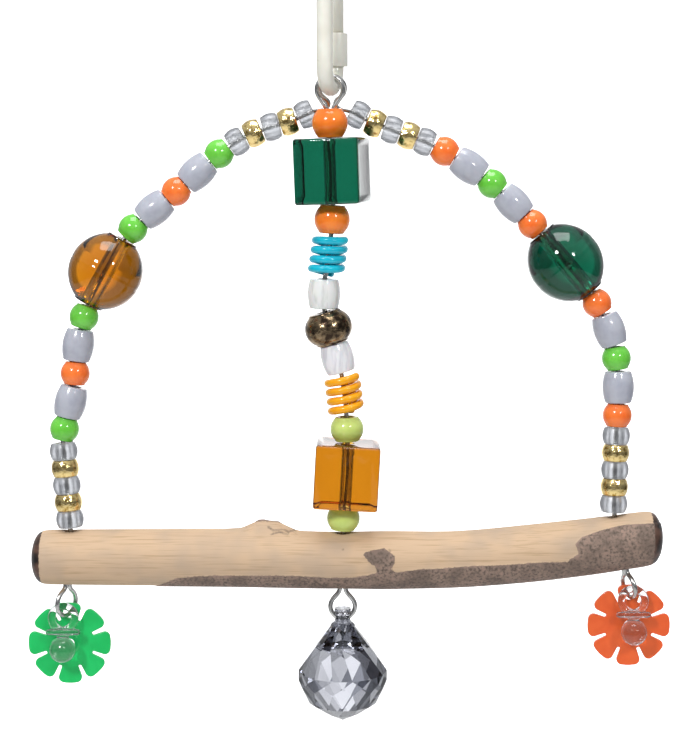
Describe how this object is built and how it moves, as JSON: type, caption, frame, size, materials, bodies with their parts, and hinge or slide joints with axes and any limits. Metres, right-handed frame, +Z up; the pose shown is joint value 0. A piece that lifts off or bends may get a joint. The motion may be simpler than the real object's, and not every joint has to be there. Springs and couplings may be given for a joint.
{
  "type": "bird swing",
  "caption": "Hanging bird swing: a wooden perch on a beaded wire arch and a beaded middle strand, with a faceted drop, flower discs and charms below.",
  "frame": {"origin": "inside of the upper bow of the hanging link, where it rests on what holds it", "axes": "+X along the perch to the right, +Y away from the viewer, +Z up"},
  "size_m": [0.2122, 0.0316, 0.2603],
  "materials": {
    "ivory_plastic": "satin ivory",
    "steel_wire": "bright drawn wire",
    "peeled_wood": "smooth, part of the grey bark left on",
    "clear_acrylic": "clear, polished",
    "gold_coated": "metallised gold",
    "green_plastic": "opaque, glossy",
    "orange_plastic": "opaque, glossy",
    "bright_orange_plastic": "opaque, glossy",
    "grey_plastic": "opaque, glossy",
    "amber_acrylic": "transparent amber",
    "green_acrylic": "transparent dark green",
    "turquoise_plastic": "opaque, glossy",
    "yellow_plastic": "opaque, glossy",
    "pearl_plastic": "pearl, glossy",
    "bronze_metallic": "dark speckled bronze coating",
    "white_plastic": "opaque, glossy",
    "lime_plastic": "opaque, glossy",
    "green_flower_plastic": "opaque, satin",
    "orange_flower_plastic": "opaque, satin"
  },
  "bodies": {
    "link": {"hanging_link": "ivory_plastic"},
    "swing": {"arch_wire": "steel_wire", "center_wire": "steel_wire", "perch": "peeled_wood"},
    "nut": {"link_nut": "ivory_plastic"},
    "drop": {"crystal_drop": "clear_acrylic"},
    "left_flower": {"left_flower": "green_flower_plastic"},
    "right_flower": {"right_flower": "orange_flower_plastic"},
    "left_pacifier": {"left_pacifier": "clear_acrylic"},
    "right_pacifier": {"right_pacifier": "clear_acrylic"},
    "top_orange_bead": {"top_orange_bead": "bright_orange_plastic"},
    "green_cube": {"green_cube": "green_acrylic"},
    "lower_orange_bead": {"lower_orange_bead": "bright_orange_plastic"},
    "turquoise_coil": {"turquoise_coil": "turquoise_plastic"},
    "pearl_barrel": {"pearl_barrel": "pearl_plastic"},
    "bronze_bead": {"bronze_bead": "bronze_metallic"},
    "white_barrel": {"white_barrel": "white_plastic"},
    "yellow_coil": {"yellow_coil": "yellow_plastic"},
    "upper_lime_bead": {"upper_lime_bead": "lime_plastic"},
    "amber_cube": {"amber_cube": "amber_acrylic"},
    "lower_lime_bead": {"lower_lime_bead": "lime_plastic"},
    "left_clear_bead_1": {"left_clear_bead_1": "clear_acrylic"},
    "left_gold_bead_1": {"left_gold_bead_1": "gold_coated"},
    "left_clear_bead_2": {"left_clear_bead_2": "clear_acrylic"},
    "left_gold_bead_2": {"left_gold_bead_2": "gold_coated"},
    "left_clear_bead_3": {"left_clear_bead_3": "clear_acrylic"},
    "left_green_bead_1": {"left_green_bead_1": "green_plastic"},
    "left_grey_barrel_1": {"left_grey_barrel_1": "grey_plastic"},
    "left_orange_bead_1": {"left_orange_bead_1": "orange_plastic"},
    "left_grey_barrel_2": {"left_grey_barrel_2": "grey_plastic"},
    "left_green_bead_2": {"left_green_bead_2": "green_plastic"},
    "amber_oval_bead": {"amber_oval_bead": "amber_acrylic"},
    "left_green_bead_3": {"left_green_bead_3": "green_plastic"},
    "left_grey_barrel_3": {"left_grey_barrel_3": "grey_plastic"},
    "left_orange_bead_2": {"left_orange_bead_2": "orange_plastic"},
    "left_grey_barrel_4": {"left_grey_barrel_4": "grey_plastic"},
    "left_green_bead_4": {"left_green_bead_4": "green_plastic"},
    "left_leg_clear_beads": {"left_leg_clear_beads": "clear_acrylic"},
    "left_leg_gold_beads": {"left_leg_gold_beads": "gold_coated"},
    "right_clear_bead_1": {"right_clear_bead_1": "clear_acrylic"},
    "right_gold_bead_1": {"right_gold_bead_1": "gold_coated"},
    "right_clear_bead_2": {"right_clear_bead_2": "clear_acrylic"},
    "right_gold_bead_2": {"right_gold_bead_2": "gold_coated"},
    "right_clear_bead_3": {"right_clear_bead_3": "clear_acrylic"},
    "right_orange_bead_1": {"right_orange_bead_1": "orange_plastic"},
    "right_grey_barrel_1": {"right_grey_barrel_1": "grey_plastic"},
    "right_green_bead_1": {"right_green_bead_1": "green_plastic"},
    "right_grey_barrel_2": {"right_grey_barrel_2": "grey_plastic"},
    "right_orange_bead_2": {"right_orange_bead_2": "orange_plastic"},
    "green_oval_bead": {"green_oval_bead": "green_acrylic"},
    "right_orange_bead_3": {"right_orange_bead_3": "orange_plastic"},
    "right_grey_barrel_3": {"right_grey_barrel_3": "grey_plastic"},
    "right_green_bead_2": {"right_green_bead_2": "green_plastic"},
    "right_grey_barrel_4": {"right_grey_barrel_4": "grey_plastic"},
    "right_orange_bead_4": {"right_orange_bead_4": "orange_plastic"},
    "right_leg_clear_beads": {"right_leg_clear_beads": "clear_acrylic"},
    "right_leg_gold_beads": {"right_leg_gold_beads": "gold_coated"}
  },
  "joints": [
    {"name": "swing_hinge", "type": "hinge", "parent": "link", "child": "swing", "pos_m": [0, 0, -0.0402], "axis": [0.9703, -0.2419, 0], "range_deg": [-35, 35]},
    {"name": "nut_travel", "type": "slide", "parent": "link", "child": "nut", "axis": [0, 0, 1], "range_m": [0, 0.0083]},
    {"name": "drop_hinge", "type": "hinge", "parent": "swing", "child": "drop", "pos_m": [0.00387, 0, -0.2196], "axis": [1, 0, 0], "range_deg": [-50, 50]},
    {"name": "left_flower_hinge", "type": "hinge", "parent": "swing", "child": "left_flower", "pos_m": [-0.08651, 0.00058, -0.21833], "axis": [0, 1, 0], "range_deg": [-30, 30]},
    {"name": "right_flower_hinge", "type": "hinge", "parent": "swing", "child": "right_flower", "pos_m": [0.09848, 0.00083, -0.21229], "axis": [0, 1, 0], "range_deg": [-30, 30]},
    {"name": "left_pacifier_hinge", "type": "hinge", "parent": "swing", "child": "left_pacifier", "pos_m": [-0.08803, -0.00274, -0.21951], "axis": [0, 0.9613, -0.2756], "range_deg": [-25, 25]},
    {"name": "right_pacifier_hinge", "type": "hinge", "parent": "swing", "child": "right_pacifier", "pos_m": [0.09939, -0.00248, -0.21379], "axis": [0, 0.9613, -0.2756], "range_deg": [-25, 25]},
    {"name": "top_orange_bead_spin", "type": "hinge", "parent": "swing", "child": "top_orange_bead", "pos_m": [-0.00014, 0, -0.05833], "axis": [-0.0272, 0, 0.9996], "continuous": true},
    {"name": "green_cube_spin", "type": "hinge", "parent": "swing", "child": "green_cube", "pos_m": [0.00065, 0, -0.07346], "axis": [-0.0349, 0, 0.9994], "continuous": true},
    {"name": "lower_orange_bead_spin", "type": "hinge", "parent": "swing", "child": "lower_orange_bead", "pos_m": [0.00053, 0, -0.08892], "axis": [0.0555, 0, 0.9985], "continuous": true},
    {"name": "turquoise_coil_spin", "type": "hinge", "parent": "swing", "child": "turquoise_coil", "pos_m": [-0.00071, 0, -0.10064], "axis": [0.1419, 0, 0.9899], "continuous": true},
    {"name": "pearl_barrel_spin", "type": "hinge", "parent": "swing", "child": "pearl_barrel", "pos_m": [-0.00211, 0, -0.11284], "axis": [0.0158, 0, 0.9999], "continuous": true},
    {"name": "bronze_bead_spin", "type": "hinge", "parent": "swing", "child": "bronze_bead", "pos_m": [-0.00068, 0, -0.12396], "axis": [-0.2712, 0, 0.9625], "continuous": true},
    {"name": "white_barrel_spin", "type": "hinge", "parent": "swing", "child": "white_barrel", "pos_m": [0.00226, 0, -0.1338], "axis": [-0.2598, 0, 0.9656], "continuous": true},
    {"name": "yellow_coil_spin", "type": "hinge", "parent": "swing", "child": "yellow_coil", "pos_m": [0.00442, 0, -0.14586], "axis": [-0.1222, 0, 0.9925], "continuous": true},
    {"name": "upper_lime_bead_spin", "type": "hinge", "parent": "swing", "child": "upper_lime_bead", "pos_m": [0.00532, 0, -0.15705], "axis": [-0.0349, 0, 0.9994], "continuous": true},
    {"name": "amber_cube_spin", "type": "hinge", "parent": "swing", "child": "amber_cube", "pos_m": [0.00521, 0, -0.17194], "axis": [0.0539, 0, 0.9985], "continuous": true},
    {"name": "lower_lime_bead_spin", "type": "hinge", "parent": "swing", "child": "lower_lime_bead", "pos_m": [0.00411, 0, -0.18654], "axis": [0.0682, 0, 0.9977], "continuous": true},
    {"name": "left_clear_bead_1_spin", "type": "hinge", "parent": "swing", "child": "left_clear_bead_1", "pos_m": [-0.00807, 0.00611, -0.05543], "axis": [0.9009, 0.0184, 0.4337], "continuous": true},
    {"name": "left_gold_bead_1_spin", "type": "hinge", "parent": "swing", "child": "left_gold_bead_1", "pos_m": [-0.0137, 0.00601, -0.05778], "axis": [0.9498, 0.0132, 0.3127], "continuous": true},
    {"name": "left_clear_bead_2_spin", "type": "hinge", "parent": "swing", "child": "left_clear_bead_2", "pos_m": [-0.01917, 0.00594, -0.05943], "axis": [0.9602, 0.0118, 0.279], "continuous": true},
    {"name": "left_gold_bead_2_spin", "type": "hinge", "parent": "swing", "child": "left_gold_bead_2", "pos_m": [-0.02488, 0.00585, -0.06145], "axis": [0.9171, 0.0169, 0.3983], "continuous": true},
    {"name": "left_clear_bead_3_spin", "type": "hinge", "parent": "swing", "child": "left_clear_bead_3", "pos_m": [-0.03023, 0.00574, -0.06417], "axis": [0.8638, 0.0213, 0.5034], "continuous": true},
    {"name": "left_green_bead_1_spin", "type": "hinge", "parent": "swing", "child": "left_green_bead_1", "pos_m": [-0.03599, 0.00557, -0.06805], "axis": [0.7959, 0.0256, 0.6049], "continuous": true},
    {"name": "left_grey_barrel_1_spin", "type": "hinge", "parent": "swing", "child": "left_grey_barrel_1", "pos_m": [-0.04309, 0.00532, -0.07406], "axis": [0.7409, 0.0284, 0.671], "continuous": true},
    {"name": "left_orange_bead_1_spin", "type": "hinge", "parent": "swing", "child": "left_orange_bead_1", "pos_m": [-0.04996, 0.00506, -0.08013], "axis": [0.7647, 0.0273, 0.6438], "continuous": true},
    {"name": "left_grey_barrel_2_spin", "type": "hinge", "parent": "swing", "child": "left_grey_barrel_2", "pos_m": [-0.05704, 0.00482, -0.0859], "axis": [0.7802, 0.0265, 0.625], "continuous": true},
    {"name": "left_green_bead_2_spin", "type": "hinge", "parent": "swing", "child": "left_green_bead_2", "pos_m": [-0.06408, 0.00455, -0.09216], "axis": [0.6935, 0.0305, 0.7199], "continuous": true},
    {"name": "amber_oval_bead_spin", "type": "hinge", "parent": "swing", "child": "amber_oval_bead", "pos_m": [-0.07313, 0.00397, -0.10594], "axis": [0.4818, 0.0371, 0.8755], "continuous": true},
    {"name": "left_green_bead_3_spin", "type": "hinge", "parent": "swing", "child": "left_green_bead_3", "pos_m": [-0.08025, 0.00335, -0.12064], "axis": [0.3148, 0.0401, 0.9483], "continuous": true},
    {"name": "left_grey_barrel_3_spin", "type": "hinge", "parent": "swing", "child": "left_grey_barrel_3", "pos_m": [-0.08227, 0.00295, -0.1299], "axis": [0.1497, 0.0418, 0.9879], "continuous": true},
    {"name": "left_orange_bead_2_spin", "type": "hinge", "parent": "swing", "child": "left_orange_bead_2", "pos_m": [-0.08337, 0.00257, -0.13907], "axis": [0.0885, 0.0421, 0.9952], "continuous": true},
    {"name": "left_grey_barrel_4_spin", "type": "hinge", "parent": "swing", "child": "left_grey_barrel_4", "pos_m": [-0.08499, 0.00217, -0.14842], "axis": [0.2422, 0.041, 0.9694], "continuous": true},
    {"name": "left_green_bead_4_spin", "type": "hinge", "parent": "swing", "child": "left_green_bead_4", "pos_m": [-0.08705, 0.00179, -0.15729], "axis": [0.2239, 0.0412, 0.9737], "continuous": true},
    {"name": "left_leg_clear_beads_spin", "type": "hinge", "parent": "swing", "child": "left_leg_clear_beads", "pos_m": [-0.08657, 0.00101, -0.17585], "axis": [-0.0785, 0.0422, 0.996], "continuous": true},
    {"name": "left_leg_gold_beads_spin", "type": "hinge", "parent": "swing", "child": "left_leg_gold_beads", "pos_m": [-0.08657, 0.00101, -0.17585], "axis": [-0.0785, 0.0422, 0.996], "continuous": true},
    {"name": "right_clear_bead_1_spin", "type": "hinge", "parent": "swing", "child": "right_clear_bead_1", "pos_m": [0.00896, 0.0061, -0.0556], "axis": [-0.8783, 0.0202, 0.4776], "continuous": true},
    {"name": "right_gold_bead_1_spin", "type": "hinge", "parent": "swing", "child": "right_gold_bead_1", "pos_m": [0.01433, 0.00599, -0.05832], "axis": [-0.9204, 0.0165, 0.3907], "continuous": true},
    {"name": "right_clear_bead_2_spin", "type": "hinge", "parent": "swing", "child": "right_clear_bead_2", "pos_m": [0.01982, 0.0059, -0.06034], "axis": [-0.9476, 0.0135, 0.3193], "continuous": true},
    {"name": "right_gold_bead_2_spin", "type": "hinge", "parent": "swing", "child": "right_gold_bead_2", "pos_m": [0.02523, 0.00582, -0.06223], "axis": [-0.9376, 0.0147, 0.3474], "continuous": true},
    {"name": "right_clear_bead_3_spin", "type": "hinge", "parent": "swing", "child": "right_clear_bead_3", "pos_m": [0.03053, 0.00574, -0.06423], "axis": [-0.9331, 0.0152, 0.3592], "continuous": true},
    {"name": "right_orange_bead_1_spin", "type": "hinge", "parent": "swing", "child": "right_orange_bead_1", "pos_m": [0.03686, 0.00561, -0.06725], "axis": [-0.8711, 0.0208, 0.4906], "continuous": true},
    {"name": "right_grey_barrel_1_spin", "type": "hinge", "parent": "swing", "child": "right_grey_barrel_1", "pos_m": [0.04475, 0.0054, -0.07215], "axis": [-0.8294, 0.0236, 0.5581], "continuous": true},
    {"name": "right_green_bead_1_spin", "type": "hinge", "parent": "swing", "child": "right_green_bead_1", "pos_m": [0.05228, 0.00517, -0.07766], "axis": [-0.7729, 0.0268, 0.634], "continuous": true},
    {"name": "right_grey_barrel_2_spin", "type": "hinge", "parent": "swing", "child": "right_grey_barrel_2", "pos_m": [0.05914, 0.0049, -0.08402], "axis": [-0.6997, 0.0302, 0.7138], "continuous": true},
    {"name": "right_orange_bead_2_spin", "type": "hinge", "parent": "swing", "child": "right_orange_bead_2", "pos_m": [0.06545, 0.00462, -0.09063], "axis": [-0.6793, 0.031, 0.7332], "continuous": true},
    {"name": "green_oval_bead_spin", "type": "hinge", "parent": "swing", "child": "green_oval_bead", "pos_m": [0.07624, 0.00409, -0.1031], "axis": [-0.6452, 0.0323, 0.7633], "continuous": true},
    {"name": "right_orange_bead_3_spin", "type": "hinge", "parent": "swing", "child": "right_orange_bead_3", "pos_m": [0.08662, 0.00353, -0.11623], "axis": [-0.5374, 0.0357, 0.8426], "continuous": true},
    {"name": "right_grey_barrel_3_spin", "type": "hinge", "parent": "swing", "child": "right_grey_barrel_3", "pos_m": [0.09074, 0.00317, -0.12491], "axis": [-0.3389, 0.0398, 0.94], "continuous": true},
    {"name": "right_green_bead_2_spin", "type": "hinge", "parent": "swing", "child": "right_green_bead_2", "pos_m": [0.09312, 0.00277, -0.13417], "axis": [-0.1525, 0.0418, 0.9874], "continuous": true},
    {"name": "right_grey_barrel_4_spin", "type": "hinge", "parent": "swing", "child": "right_grey_barrel_4", "pos_m": [0.09382, 0.00238, -0.14358], "axis": [-0.0136, 0.0423, 0.999], "continuous": true},
    {"name": "right_orange_bead_4_spin", "type": "hinge", "parent": "swing", "child": "right_orange_bead_4", "pos_m": [0.09364, 0.00198, -0.15283], "axis": [0.0566, 0.0422, 0.9975], "continuous": true},
    {"name": "right_leg_clear_beads_spin", "type": "hinge", "parent": "swing", "child": "right_leg_clear_beads", "pos_m": [0.09308, 0.00123, -0.17075], "axis": [0.0262, 0.0423, 0.9988], "continuous": true},
    {"name": "right_leg_gold_beads_spin", "type": "hinge", "parent": "swing", "child": "right_leg_gold_beads", "pos_m": [0.09308, 0.00123, -0.17075], "axis": [0.0262, 0.0423, 0.9988], "continuous": true}
  ]
}
